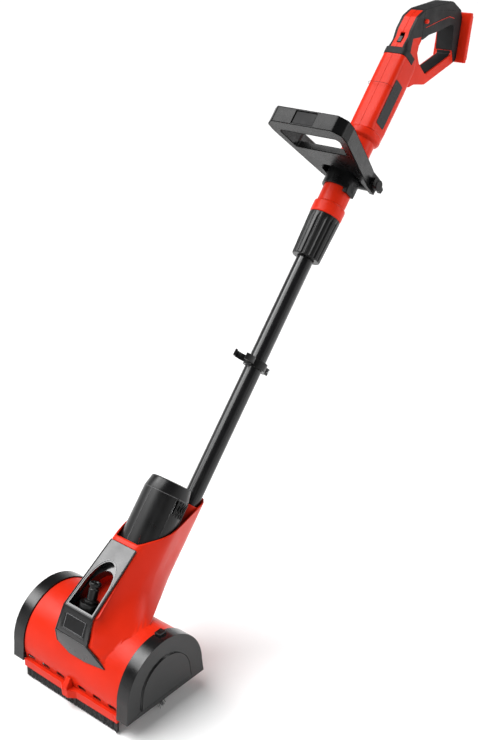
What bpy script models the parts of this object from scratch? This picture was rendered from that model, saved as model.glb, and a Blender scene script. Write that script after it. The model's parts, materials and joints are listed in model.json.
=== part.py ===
"""Cordless patio and snow sweeper: a powered drum brush on a telescopic pole with a D-handle.

Lengths below are millimetres in the model frame: X across the machine, Y towards the user, Z up from the
floor, with Y = 0 over the brush drum's axis. The empty "machine" moves all of it to the row frame.
Pieces on the pole hang from the empty "pole_axis", whose local Z runs up the pole. There, points are
(x, y, s): y is positive on the pole's underside and s is the distance along the pole.
"""

import math

import bmesh
import bpy
from mathutils import Matrix, Vector

MM = 0.001
GAP = 0.3
OBJECT_NAME = "cordless_drum_sweeper"

# Where the middle of the machine's Y extent lies, so that the row's origin is below its centre
Y_CENTRE = 423.69

# Head: brush drum, arch and side covers
DRUM_R = 57.5
DRUM_HALF = 100.0
ARCH_Z = 54.0
ARCH_R = 78.0
ARCH_WALL = 3.0
ARCH_HALF = 103.7
ARCH_FOOT_Z = 34.5
COVER_R = 80.0
COVER_WALL = 3.0
COVER_FOOT_Z = 30.0
COVER_FACE_X = 127.0
COVER_NEAR_X = 104.0
COVER_BULGE = 2.0

# Pole line: a point on it and its lean back from the vertical
POLE_Y, POLE_Z = 186.2, 217.0
POLE_LEAN = math.radians(41.33)
POLE_R = 14.75
POLE_BORE = 13.2
POLE_FROM, POLE_TO = -24.0, 620.0
POLE_FIT_R = 15.1

# Motor line: parallel to the pole, this far in front of it
MOTOR_N = 66.0
MOTOR_R = 37.6
MOTOR_FROM, MOTOR_TO = -88.0, 31.0
GEAR_S = -185.0

# Trim line down the trunk's front: (y, z, half width)
TRIM_TOP = (47.0, 223.0, 26.5)
TRIM_SHELF = (-52.0, 155.0, 31.0)
TRIM_LABEL = (-70.0, 117.0, 34.0)
TRIM_WALL = 3.0

# Arched window in the trim and the pocket behind it: foot half width, half width, rise
WINDOW = (27.5, 26.0, 52.0)
POCKET = (25.7, 23.5, 40.0)
ARCHED_FROM = 38.0

# Hose connector: where its base ends and how far its axis leans back from the vertical
CONNECTOR_TOP = (0.0, -25.5, 157.0)
CONNECTOR_LEAN = math.radians(23.0)
CONNECTOR_R = 17.0

# Handle
NECK_R = 25.0
HUB_R = 29.6
BODY_HALF = 23.5
BAND_FROM, BAND_TO = 846.0, 859.0
GRIP_HALF = 16.5
PIVOT_N, PIVOT_S = -33.0, 629.0
FRAME_TILT = math.radians(0.5)

RED = (0.80, 0.045, 0.015, 1.0)
BLACK = (0.022, 0.023, 0.024, 1.0)
SATIN = (0.055, 0.056, 0.058, 1.0)
RUBBER = (0.015, 0.015, 0.016, 1.0)
STEEL = (0.55, 0.56, 0.58, 1.0)
GREEN = (0.02, 0.16, 0.06, 1.0)


def clear_scene():
    for obj in list(bpy.data.objects):
        bpy.data.objects.remove(obj, do_unlink=True)


def collection(name):
    made = bpy.data.collections.new(name)
    bpy.context.scene.collection.children.link(made)
    return made


def material(name, colour, roughness, metallic=0.0):
    made = bpy.data.materials.new(name)
    made.use_nodes = True
    shader = made.node_tree.nodes["Principled BSDF"]
    shader.inputs["Base Color"].default_value = colour
    shader.inputs["Roughness"].default_value = roughness
    shader.inputs["Metallic"].default_value = metallic
    made.diffuse_color = colour
    return made


clear_scene()
PARTS = collection(OBJECT_NAME)
CUTTERS = collection("cutters")
MATERIALS = {
    "red_shell": material("red_shell", RED, 0.32),
    "black_shell": material("black_shell", BLACK, 0.38),
    "satin_trim": material("satin_trim", SATIN, 0.35),
    "rubber": material("rubber", RUBBER, 0.75),
    "bristle": material("bristle", BLACK, 0.65),
    "steel": material("steel", STEEL, 0.3, 1.0),
    "black_tube": material("black_tube", BLACK, 0.3, 0.4),
    "label": material("label", RUBBER, 0.3),
    "board": material("board", GREEN, 0.5),
}


# ---------------------------------------------------------------- frames and placing

def empty(name, location=(0, 0, 0), parent=None, rotation_x=0.0):
    made = bpy.data.objects.new(name, None)
    made.location = Vector(location) * MM
    made.rotation_euler = (rotation_x, 0, 0)
    made.parent = parent
    PARTS.objects.link(made)
    return made


MACHINE = empty("machine", (0, -Y_CENTRE, 0))
DRUM_AXIS = empty("drum_axis", (0, 0, DRUM_R), MACHINE)
POLE_AXIS = empty("pole_axis", (0, POLE_Y, POLE_Z), MACHINE, -POLE_LEAN)
MOTOR_AXIS = empty("motor_axis", (0, -MOTOR_N, 0), POLE_AXIS)
CROSS_AXIS = empty("cross_axis", (0, 0, GEAR_S), MOTOR_AXIS)
CONNECTOR_SEAT = empty("connector_seat", CONNECTOR_TOP, MACHINE, -CONNECTOR_LEAN)
FRAME_PIVOT = empty("front_handle_pivot", (0, -PIVOT_N, PIVOT_S), POLE_AXIS, -FRAME_TILT)


def pole_point(s, n):
    """The model (y, z) of a point s along the pole line and n in front of it."""
    along = Vector((math.sin(POLE_LEAN), math.cos(POLE_LEAN)))
    across = Vector((-along.y, along.x))
    return Vector((POLE_Y, POLE_Z)) + s * along + n * across


def place(mesh, name, slot, parent, origin=(0, 0, 0)):
    """A mesh in its parent's millimetres as an object whose origin is at the given point."""
    mesh.transform(Matrix.Scale(MM, 4) @ Matrix.Translation(-Vector(origin)))
    mesh.update()
    made = bpy.data.objects.new(name, mesh)
    made.location = Vector(origin) * MM
    made.parent = parent
    if slot is None:
        CUTTERS.objects.link(made)
        made.hide_render = True
        made.display_type = "WIRE"
    else:
        PARTS.objects.link(made)
        mesh.materials.append(MATERIALS[slot])
    return made


def smooth(made, angle=35):
    for polygon in made.data.polygons:
        polygon.use_smooth = True
    made.data.set_sharp_from_angle(angle=math.radians(angle))
    return made


# ---------------------------------------------------------------- outlines

def arc(centre, radius, start, end, steps):
    """Points on an arc, angles in degrees; radius may be an (a, b) pair for an ellipse."""
    across, up = radius if isinstance(radius, tuple) else (radius, radius)
    angles = [math.radians(start + (end - start) * i / steps) for i in range(steps + 1)]
    return [(centre[0] + across * math.cos(a), centre[1] + up * math.sin(a)) for a in angles]


def circle(centre, radius, steps=32):
    return arc(centre, radius, 0, 360, steps)[:-1]


def rounded(points, radius, steps=3):
    """A polygon with each corner rounded; radius is one number or one per corner."""
    count = len(points)
    radii = radius if isinstance(radius, (list, tuple)) else [radius] * count
    result = []
    for i in range(count):
        corner = Vector(points[i])
        before = (Vector(points[i - 1]) - corner).normalized()
        after = (Vector(points[(i + 1) % count]) - corner).normalized()
        half = before.angle(after) / 2
        if radii[i] <= 0 or half > math.radians(88):
            result.append(tuple(corner))
            continue
        reach = radii[i] / math.tan(half)
        for step in range(steps + 1):
            t = step / steps
            near, far = corner + before * reach, corner + after * reach
            bend = near * (1 - t) ** 2 + corner * 2 * t * (1 - t) + far * t**2
            result.append(tuple(bend))
    return result


def inset(points, distance):
    """The polygon moved inwards by a distance; points run anticlockwise."""
    result = []
    for i, point in enumerate(points):
        here = Vector(point)
        back = (here - Vector(points[i - 1])).normalized()
        ahead = (Vector(points[(i + 1) % len(points)]) - here).normalized()
        normal = Vector((-back.y, back.x)) + Vector((-ahead.y, ahead.x))
        normal.normalize()
        stretch = max(0.4, normal.dot(Vector((-ahead.y, ahead.x))))
        result.append(tuple(here + normal * distance / stretch))
    return result


def arch_outline(radius, foot_z, foot_lean=0.0, steps=36):
    """The D section of the arch and covers, anticlockwise from the rear foot, as (y, z)."""
    low = math.degrees(math.asin((foot_z - ARCH_Z) / radius)) if foot_lean == 0 else 0.0
    curve = arc((0, ARCH_Z), radius, low, 180 - low, steps)
    if foot_lean:
        curve = [(radius + foot_lean, foot_z)] + curve + [(-radius - foot_lean, foot_z)]
    return curve


# ---------------------------------------------------------------- solids

PLANES = {
    "YZ": Matrix(((0, 0, 1, 0), (1, 0, 0, 0), (0, 1, 0, 0), (0, 0, 0, 1))),
    "XY": Matrix.Identity(4),
    "XZ": Matrix(((1, 0, 0, 0), (0, 0, -1, 0), (0, 1, 0, 0), (0, 0, 0, 1))),
}


def slab_mesh(outlines, low, high, plane):
    """Flat outlines (the first is the edge, the rest are holes) with a thickness from low to high."""
    curve = bpy.data.curves.new("outline", "CURVE")
    curve.dimensions = "2D"
    curve.fill_mode = "BOTH"
    curve.extrude = (high - low) / 2
    for outline in outlines:
        spline = curve.splines.new("POLY")
        spline.points.add(len(outline) - 1)
        for point, (u, v) in zip(spline.points, outline):
            point.co = (u, v, 0, 1)
        spline.use_cyclic_u = True
    source = bpy.data.objects.new("outline", curve)
    PARTS.objects.link(source)
    bpy.context.view_layer.update()
    mesh = bpy.data.meshes.new_from_object(source.evaluated_get(bpy.context.evaluated_depsgraph_get()))
    bpy.data.objects.remove(source)
    bpy.data.curves.remove(curve)
    cage = bmesh.new()
    cage.from_mesh(mesh)
    bmesh.ops.remove_doubles(cage, verts=cage.verts, dist=0.001)
    bmesh.ops.recalc_face_normals(cage, faces=cage.faces)
    cage.to_mesh(mesh)
    cage.free()
    mesh.transform(PLANES[plane] @ Matrix.Translation((0, 0, (low + high) / 2)))
    if PLANES[plane].determinant() < 0:
        mesh.flip_normals()
    return mesh


def slab(name, slot, parent, outlines, low, high, plane="YZ", origin=(0, 0, 0)):
    return place(slab_mesh(outlines, low, high, plane), name, slot, parent, origin)


def box(name, slot, parent, low, high, origin=(0, 0, 0)):
    cage = bmesh.new()
    bmesh.ops.create_cube(cage, size=1.0)
    size = Vector(high) - Vector(low)
    bmesh.ops.scale(cage, vec=size, verts=cage.verts)
    bmesh.ops.translate(cage, vec=Vector(low) + size / 2, verts=cage.verts)
    mesh = bpy.data.meshes.new(name)
    cage.to_mesh(mesh)
    cage.free()
    return place(mesh, name, slot, parent, origin)


def turned(name, slot, parent, profile, axis="Z", steps=32, closed=False, origin=(0, 0, 0)):
    """A Screw of an (r, h) profile about the axis; the profile runs down its outer side."""
    mesh = bpy.data.meshes.new(name)
    edges = [(i, i + 1) for i in range(len(profile) - 1)]
    if closed:
        edges.append((len(profile) - 1, 0))
    mesh.from_pydata([(r, 0, h) for r, h in profile], edges, [])
    made = place(mesh, name, slot, parent)
    made.location = Vector(origin) * MM
    if axis == "X":
        made.rotation_euler = (0, math.pi / 2, 0)
    if axis == "Y":
        made.rotation_euler = (-math.pi / 2, 0, 0)
    screw = made.modifiers.new("turn", "SCREW")
    screw.steps = screw.render_steps = steps
    screw.use_merge_vertices = True
    screw.merge_threshold = 0.00001
    screw.use_smooth_shade = True
    return made


def rod_profile(radius, low, high):
    return [(0, high), (radius, high), (radius, low), (0, low)]


def tube_profile(outer, inner, low, high):
    return [(outer, high), (outer, low), (inner, low), (inner, high)]


def rod(name, slot, parent, radius, low, high, axis="Z", steps=32, origin=(0, 0, 0)):
    return turned(name, slot, parent, rod_profile(radius, low, high), axis, steps, origin=origin)


def tube(name, slot, parent, outer, inner, low, high, axis="Z", steps=32, origin=(0, 0, 0)):
    profile = tube_profile(outer, inner, low, high)
    return turned(name, slot, parent, profile, axis, steps, True, origin)


def loft(name, slot, parent, rings, origin=(0, 0, 0)):
    """Closed body through rings of equal length; used where the sections are unlike."""
    count = len(rings[0])
    vertices = [point for ring in rings for point in ring]
    faces = [tuple(range(count))[::-1], tuple(range(len(vertices) - count, len(vertices)))]
    for level in range(len(rings) - 1):
        for i in range(count):
            j = (i + 1) % count
            low, high = level * count, (level + 1) * count
            faces.append((low + i, low + j, high + j, high + i))
    mesh = bpy.data.meshes.new(name)
    mesh.from_pydata(vertices, [], faces)
    cage = bmesh.new()
    cage.from_mesh(mesh)
    bmesh.ops.recalc_face_normals(cage, faces=cage.faces)
    cage.to_mesh(mesh)
    cage.free()
    return place(mesh, name, slot, parent, origin)


def boolean(made, operation, *others):
    for other in others:
        step = made.modifiers.new(other.name, "BOOLEAN")
        step.operation = operation
        step.solver = "EXACT"
        step.object = other
    return made


def cut(made, *others):
    return boolean(made, "DIFFERENCE", *others)


def join(made, *others):
    return boolean(made, "UNION", *others)


def bevel(made, width, segments=2, angle=40):
    step = made.modifiers.new("round", "BEVEL")
    step.width = width * MM
    step.segments = segments
    step.limit_method = "ANGLE"
    step.angle_limit = math.radians(angle)
    return made


# ---------------------------------------------------------------- head

def hull(points):
    """Convex hull, anticlockwise."""
    ordered = sorted(set((round(x, 4), round(y, 4)) for x, y in points))

    def half(sequence):
        chain = []
        for p in sequence:
            while len(chain) > 1:
                (ax, ay), (bx, by) = chain[-2], chain[-1]
                if (bx - ax) * (p[1] - ay) - (by - ay) * (p[0] - ax) > 0:
                    break
                chain.pop()
            chain.append(p)
        return chain

    return half(ordered)[:-1] + half(ordered[::-1])[:-1]


def resampled(outline, centre, count):
    """The outline's points met by evenly spread rays from a centre inside it."""
    result = []
    for k in range(count):
        angle = 2 * math.pi * k / count
        ray = Vector((math.cos(angle), math.sin(angle)))
        best = 0.0
        for i in range(len(outline)):
            a = Vector(outline[i - 1]) - Vector(centre)
            edge = Vector(outline[i]) - Vector(outline[i - 1])
            cross = ray.x * edge.y - ray.y * edge.x
            if abs(cross) < 1e-9:
                continue
            reach = (a.x * edge.y - a.y * edge.x) / cross
            along = (a.x * ray.y - a.y * ray.x) / cross
            if reach > 0 and -1e-6 <= along <= 1 + 1e-6:
                best = max(best, reach)
        result.append(tuple(Vector(centre) + ray * best))
    return result


# Trunk sections: height, front edge y, front left x, front right x, flare (x, y, rx, ry) or None
TRUNK_SECTIONS = (
    (228.0, 53.0, -26.3, 26.3, None),
    (200.0, 13.5, -28.0, 28.0, None),
    (175.0, -23.0, -30.0, 30.5, (14.0, 45.0, 30.0, 45.0)),
    (155.0, -53.0, -31.0, 31.0, (26.0, 26.0, 29.0, 45.0)),
    (140.0, -60.0, -32.0, 33.0, (38.0, 8.0, 31.0, 45.0)),
    (130.0, -65.0, -33.0, 35.0, (48.0, 0.0, 36.0, 40.0)),
    (117.0, -71.0, -34.0, 36.0, (50.0, -16.0, 36.0, 36.0)),
    (105.0, -69.5, -35.0, 52.0, (50.0, -24.0, 36.0, 34.0)),
    (93.0, -70.0, -36.0, 69.0, (50.0, -30.0, 34.0, 32.0)),
    (84.0, -70.0, -36.0, 66.0, (50.0, -30.0, 30.0, 30.0)),
)
TRUNK_POINTS = 64


def trunk_ring(z, front, left, right, flare, wall):
    """One horizontal section of the trunk, or of its hollow when wall is more than 0."""
    slope = math.tan(POLE_LEAN)
    motor_y = pole_point(0, MOTOR_N).x + (z - pole_point(0, MOTOR_N).y) * slope
    pole_y = POLE_Y + (z - POLE_Z) * slope
    points = circle((0, motor_y), (42.0 - wall, 55.5 - wall * 1.3))
    points += circle((0, pole_y), (20.5 - wall, 27.0 - wall * 1.3))
    if flare:
        points += circle(flare[:2], (flare[2] - wall, flare[3] - wall))
    points += [(left + wall, front + wall), (right - wall, front + wall)]
    centre = (0.0, motor_y + 20.0)
    return [(x, y, z) for x, y in resampled(hull(points), centre, TRUNK_POINTS)]


def trunk_body(name, slot, wall, top_lift):
    rings = []
    for z, *rest in TRUNK_SECTIONS:
        rings.append(trunk_ring(z, *rest, wall))
    if top_lift:
        rings.insert(0, [(x, y + top_lift * 0.88, z + top_lift) for x, y, z in rings[0]])
    return loft(name, slot, MACHINE, rings[::-1])


def trim_line(depth):
    """The trim's (y, z) line from top to the high side of its chin, moved inwards by a depth."""
    line = [TRIM_TOP[:2], TRIM_SHELF[:2], TRIM_LABEL[:2], (-66.6, 95.0)]
    moved = []
    for i, point in enumerate(line):
        here = Vector(point)
        sides = []
        if i:
            sides.append((here - Vector(line[i - 1])).normalized())
        if i < len(line) - 1:
            sides.append((Vector(line[i + 1]) - here).normalized())
        inward = sum((Vector((-d.y, d.x)) for d in sides), Vector((0, 0))).normalized()
        stretch = inward.dot(Vector((-sides[0].y, sides[0].x)))
        moved.append(tuple(here + inward * depth / stretch))
    return moved


def arch_core(name, radius, half=140.0):
    """A D-shaped bar used to keep cutters off the arch or to clear the brush chamber."""
    outline = arch_outline(radius, -30.0, 0.001)
    return slab(name, None, MACHINE, [outline], -half, half)


def plate_frame():
    """Matrix from the sloping trim plate's (x, along, out) to the model."""
    low, high = Vector(TRIM_SHELF[:2]), Vector(TRIM_TOP[:2])
    along = (high - low).normalized()
    out = Vector((-along.y, along.x))
    return Matrix((
        (1, 0, 0, 0),
        (0, along.x, out.x, low.x),
        (0, along.y, out.y, low.y),
        (0, 0, 0, 1),
    ))


def arched_block(name, shape, margin, low, high):
    """An arched block across the trim plate; shape is its foot half width, half width and rise."""
    foot, half, rise = shape
    outline = [(-foot - margin, 3.5 - margin), (foot + margin, 3.5 - margin)]
    outline += arc((0, ARCHED_FROM), (half + margin, rise + margin), 0, 180, 16)
    mesh = slab_mesh([outline], low, high, "XY")
    mesh.transform(plate_frame())
    return place(mesh, name, None, MACHINE)


def head_housing():
    """Red housing: the arch over the brush and the hollow trunk that carries motor and pole."""
    made = trunk_body("head_housing", "red_shell", 0.0, 0.0)
    arch = slab("arch_block", None, MACHINE, [arch_outline(ARCH_R, ARCH_FOOT_Z)], -ARCH_HALF, ARCH_HALF)
    front = trim_line(TRIM_WALL + GAP)
    up = (Vector(front[0]) - Vector(front[1])).normalized()
    front[0] = tuple(Vector(front[0]) + up * GAP)
    lip = tuple(Vector(front[0]) + Vector((-up.y, up.x)) * 30)
    outside = [(-66, 60), (-140, 60), (-140, 290), lip]
    front_cut = slab("front_cut", None, MACHINE, [front + outside], -90, 90)
    room = trunk_body("room", None, 3.0, 12.0)
    cut(room, arch_core("room_keep", ARCH_R + 0.2))
    pocket_wall = arched_block("pocket_wall", POCKET, 3.0, -43.0, -4.0)
    join(pocket_wall, arched_block("pocket_mouth_wall", WINDOW, 3.0, -14.0, -4.1))
    cut(pocket_wall, arch_core("pocket_wall_keep", ARCH_R - 1.5))
    pocket = arched_block("pocket", POCKET, 0.3, -40.0, 6.0)
    join(pocket, arched_block("pocket_mouth", WINDOW, 0.3, -11.0, 6.5))
    cut(pocket, arch_core("pocket_keep", ARCH_R + 0.2))
    socket = rod("pole_socket", None, POLE_AXIS, 18.6, -44.0, 12.0)
    seat_room = rod("connector_room", None, CONNECTOR_SEAT, CONNECTOR_R + GAP, -60, 9)
    cut(seat_room, arch_core("connector_room_keep", ARCH_R + 0.2))
    cut(made, front_cut)
    join(made, arch)
    cut(made, room)
    join(made, pocket_wall, socket)
    cut(made, pocket, seat_room, arch_core("brush_chamber", ARCH_R - ARCH_WALL))
    for i, x in enumerate((-90, -57, -24, 24, 57, 90)):
        oval = rounded([(x - 8.5, 36.4), (x + 8.5, 36.4), (x + 8.5, 43.4), (x - 8.5, 43.4)], 3.3)
        cut(made, slab(f"foot_slot_{i}", None, MACHINE, [oval], 60.0, 90.0, "XZ"))
    cut(made, rod("pole_bore", None, POLE_AXIS, POLE_FIT_R, POLE_FROM - GAP, 60.0))
    cut(made, rod("motor_bore", None, MOTOR_AXIS, MOTOR_R + GAP, -124.0, 60.0, steps=48))
    cut(made, rod("pinion_bore", None, MOTOR_AXIS, 9.0, GEAR_S - 2, -120.0))
    cut(made, rod("gear_bore", None, CROSS_AXIS, 10.8, -20.0, 12.0, "X"))
    cut(made, rod("nozzle_bore", None, MACHINE, 5.3, 60, 145, origin=(0, -38, 0)))
    cut(made, rod("clamp_bore", None, POLE_AXIS, 2.8, 12.0, 30.0, "Y", 16, (0, 0, -2)))
    return made


def trim_skin(name, slot, depth):
    """Folded front trim: open surface with Solidify, its foot on the arch."""
    columns = (0.0, 0.3, 0.62, 0.82, 1.0)
    chin = ((-36.0, 95.0), (-5.0, 88.0), (28.0, 88.0), (50.0, 90.5), (69.0, 93.0))
    rows = []
    for y, z, half in (TRIM_TOP, TRIM_SHELF, TRIM_LABEL):
        rows.append([(-half + 2 * half * t, y, z) for t in columns])
    arch_y = [-math.sqrt((ARCH_R + 0.4) ** 2 - (z - ARCH_Z) ** 2) for _, z in chin]
    rows.append([(x, y, z) for (x, z), y in zip(chin, arch_y)])
    count = len(columns)
    faces = []
    for row in range(len(rows) - 1):
        for i in range(count - 1):
            a = row * count + i
            faces.append((a, a + count, a + count + 1, a + 1))
    mesh = bpy.data.meshes.new(name)
    mesh.from_pydata([p for row in rows for p in row], [], faces)
    made = place(mesh, name, slot, MACHINE)
    skin = made.modifiers.new("wall", "SOLIDIFY")
    skin.thickness = depth * MM
    skin.offset = -1
    skin.use_even_offset = True
    return made


def label_frame():
    """Matrix from the label panel's (x, along, out) to the model; its middle is the origin."""
    low, high = Vector(TRIM_LABEL[:2]), Vector(TRIM_SHELF[:2])
    along = (high - low).normalized()
    out = Vector((-along.y, along.x))
    middle = (low + high) / 2
    return Matrix((
        (1, 0, 0, 0),
        (0, along.x, out.x, middle.x),
        (0, along.y, out.y, middle.y),
        (0, 0, 0, 1),
    ))


def label_block(name, slot, grow, low, high):
    corners = [(-25.0 - grow, -12.5 - grow), (25.0 + grow, -12.5 - grow)]
    corners += [(24.0 + grow, 12.5 + grow), (-24.0 - grow, 12.5 + grow)]
    mesh = slab_mesh([rounded(corners, 3.0)], low, high, "XY")
    mesh.transform(label_frame())
    return place(mesh, name, slot, MACHINE)


def front_trim():
    made = trim_skin("front_trim", "satin_trim", TRIM_WALL)
    cut(made, arched_block("trim_window", WINDOW, 0.0, -12.0, 12.0))
    cut(made, label_block("label_recess", None, 0.0, -1.4, 3.0))
    cut(made, arch_core("trim_keep", ARCH_R + GAP))
    label_block("name_plate", "label", -GAP, -1.1, -0.2)


def hose_connector():
    seat = CONNECTOR_SEAT
    base = tube("hose_connector_base", "black_shell", seat, CONNECTOR_R, 6.0, -60.0, 0.0)
    cut(base, arch_core("base_keep", ARCH_R + 0.5))
    profile = [(5.8, 32), (8.4, 32), (9.4, 30.5), (9.4, 27), (7.2, 26), (7.2, 22.5), (8.2, 21.5)]
    profile += [(8.2, 6), (11.5, 4), (11.5, GAP), (4.2, GAP), (4.2, 30)]
    turned("hose_connector_stub", "black_shell", seat, profile, closed=True)
    profile = [(4.8, 112.0), (4.8, 108), (6.8, 106), (6.8, 103.5), (2.5, 103.5), (2.5, 112.0)]
    turned("water_nozzle", "black_shell", MACHINE, profile, closed=True, steps=20, origin=(0, -38, 7.3))


def cover_cup(name, side, slot):
    """A D-shaped side cover: rounded outer face with a raised panel, open inwards and below."""
    foot = 3.0
    outer = arch_outline(COVER_R, COVER_FOOT_Z, foot, 32)
    inner = arch_outline(COVER_R - COVER_WALL, COVER_FOOT_Z - 12, foot, 32)
    panel = arch_outline(COVER_R - 28, COVER_FOOT_Z + 9, 2.0, 24)
    near, far = COVER_NEAR_X, COVER_FACE_X
    low, high = (near, far) if side > 0 else (-far, -near)
    made = slab(name, slot, MACHINE, [outer], low, high)
    rim = bevel(made, 8.0, 4, 60)
    face = (far - 4, far + COVER_BULGE) if side > 0 else (-far - COVER_BULGE, -far + 4)
    raised = slab(name + "_panel", None, MACHINE, [panel], *face)
    bevel(raised, 1.8, 2, 60)
    hollow = (near - 20, far - COVER_WALL) if side > 0 else (-far + COVER_WALL, -near + 20)
    join(rim, raised)
    return cut(rim, slab(name + "_hollow", None, MACHINE, [inner], *hollow))


def side_covers():
    cover_cup("left_cover", -1, "black_shell")
    right = cover_cup("right_cover", 1, "black_shell")
    boss = tube("bearing_boss", None, DRUM_AXIS, 15.0, 11.3, 110.0, COVER_FACE_X - 1, "X")
    join(right, boss)
    cut(right, box("latch_recess", None, MACHINE, (103, 1.7, 127), (116.3, 16.3, 146)))
    tube("right_bearing", "steel", DRUM_AXIS, 11.0, 6.2, 111.0, 118.0, "X")
    latch = box("cover_latch", "black_shell", MACHINE, (104.2, 2, 131.8), (116, 16, 137.6), (110, 9, 134))
    bevel(latch, 0.8, 1)
    cut(latch, box("latch_groove", None, MACHINE, (105, 6, 136.4), (113.5, 12, 141)))
    spring("latch_spring", "steel", MACHINE, 2.4, 0.35, 4, 127.6, 131.4, (110, 9, 0))


def spring(name, slot, parent, radius, wire, turns, low, high, origin):
    """A coil spring along the parent's Z."""
    per_turn = 10
    count = turns * per_turn
    curve = bpy.data.curves.new(name, "CURVE")
    curve.dimensions = "3D"
    curve.bevel_depth = wire * MM
    curve.bevel_resolution = 1
    curve.use_fill_caps = True
    path = curve.splines.new("POLY")
    path.points.add(count)
    for i, point in enumerate(path.points):
        turn = 2 * math.pi * i / per_turn
        height = low + wire + (high - low - 2 * wire) * i / count
        place_at = Vector((radius * math.cos(turn), radius * math.sin(turn), height)) * MM
        point.co = (*place_at, 1)
    made = bpy.data.objects.new(name, curve)
    made.location = Vector(origin) * MM
    made.parent = parent
    curve.materials.append(MATERIALS[slot])
    PARTS.objects.link(made)
    return made


def front_strip():
    """Red strip holder in front of the arch and the bristle strip under it."""
    front, bulge, back = -82.0, -90.0, -71.5
    half, low, high = ARCH_HALF - 0.2, 20.5, 34.0
    edge = [(-half, back), (-half, front + 0.8), (-17, front), (-6, bulge), (6, bulge), (17, front)]
    edge += [(half, front + 0.8), (half, back)]
    holder = slab("strip_holder", "red_shell", MACHINE, [edge], low, high, "XY")
    wedge = [(-89.5, 24.5), (-89.5, 38), (-81.5, 50), (-78.6, 50), (-77.4, 41), (-76.3, 35), (-74.5, 33),
             (-74.5, 24.5)]
    join(holder, slab("strip_wedge", None, MACHINE, [wedge], -4.5, 4.5))
    tufts = 22
    pitch = 2 * (half - 1.5) / tufts
    comb = [(1.5 - half, low - GAP)]
    for i in range(tufts):
        x = 1.5 - half + i * pitch
        foot = 0.6 if i == tufts - 1 else 1.6
        comb += [(x, 1.6), (x + pitch * 0.8, foot), (x + pitch * 0.8, 13.0)]
        if i < tufts - 1:
            comb.append((x + pitch, 13.0))
    comb = comb[:-1] + [(half - 1.5, 0.6), (half - 1.5, low - GAP)]
    slab("bristle_strip", "bristle", MACHINE, [comb], 75.0, 79.0, "XZ")


def brush_drum():
    """Everything that turns with the brush, about the drum axis."""
    rod("drum_shaft", "steel", DRUM_AXIS, 5.9, -123.0, 116.0, "X", 24)
    tube("drum_core", "black_shell", DRUM_AXIS, 22.0, 6.2, -99.0, 99.0, "X", 32)
    rows = 18
    edge = []
    for i in range(rows):
        middle = -90 + 360 * i / rows
        edge += arc((0, 0), DRUM_R, middle - 6.5, middle + 6.5, 2)
        edge += arc((0, 0), 38.0, middle + 8.5, middle + 360 / rows - 8.5, 1)
    slab("brush_bristles", "bristle", DRUM_AXIS, [edge, circle((0, 0), 22.3, 32)], -DRUM_HALF, DRUM_HALF)
    profile = [(21.5, -108.5), (21.5, -109.5), (20, -109.5), (20, -117.5), (21.5, -117.5), (21.5, -118.5)]
    profile += [(6.2, -118.5), (6.2, -108.5)]
    turned("drum_pulley", "black_shell", DRUM_AXIS, profile, "X", 40, True)


def belt_drive():
    """Drive side inside the left cover: end plate, bearing, pulleys and toothed belt."""
    cross = MOTOR_LINE_POINT
    wall = arch_outline(COVER_R - COVER_WALL - GAP, COVER_FOOT_Z + 2, 1.2, 32)
    holes = [circle((0, DRUM_R), 11.3, 24), circle(cross, 5.8, 16)]
    slab("drive_end_plate", "black_shell", MACHINE, [wall, *holes], -107.3, -104.3)
    tube("left_bearing", "steel", DRUM_AXIS, 11.0, 6.2, -107.3, -101.0, "X", 24)
    tube("shaft_tube", "steel", CROSS_AXIS, 5.5, 3.3, -107.0, -20.0, "X", 20)
    rod("cross_shaft", "steel", CROSS_AXIS, 3.0, -122.0, -4.0, "X", 20)
    tube("small_pulley", "steel", CROSS_AXIS, 5.5, 3.3, -117.5, -109.0, "X", 24)
    bevel_wheel("bevel_gear", CROSS_AXIS, "X", 7.6, 4.7, -9.0, -4.8, 3.3, 14)
    outer = belt_outline((0, DRUM_R), 21.4, cross, 6.9)
    inner = belt_outline((0, DRUM_R), 20.3, cross, 5.8)
    slab("drive_belt", "rubber", MACHINE, [outer, inner], -117.0, -110.0)


def belt_outline(centre_a, radius_a, centre_b, radius_b):
    points = circle(centre_a, radius_a, 36) + circle(centre_b, radius_b, 24)
    return hull(points)


MOTOR_LINE_POINT = tuple(pole_point(GEAR_S, MOTOR_N))


def bevel_wheel(name, parent, axis, big, small, low, high, bore, teeth):
    """A frustum with teeth cut into its cone as straight grooves."""
    rings = []
    for radius, height in ((big, low), (small, high)):
        ring = []
        for i in range(teeth * 4):
            angle = 2 * math.pi * i / (teeth * 4)
            reach = radius if i % 4 < 2 else radius * 0.86
            a, b = reach * math.cos(angle), reach * math.sin(angle)
            ring.append((height, a, b) if axis == "X" else (a, b, height))
        rings.append(ring)
    made = loft(name, "steel", parent, rings)
    return cut(made, rod(name + "_bore", None, parent, bore, -200, 60, axis, 20))


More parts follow.
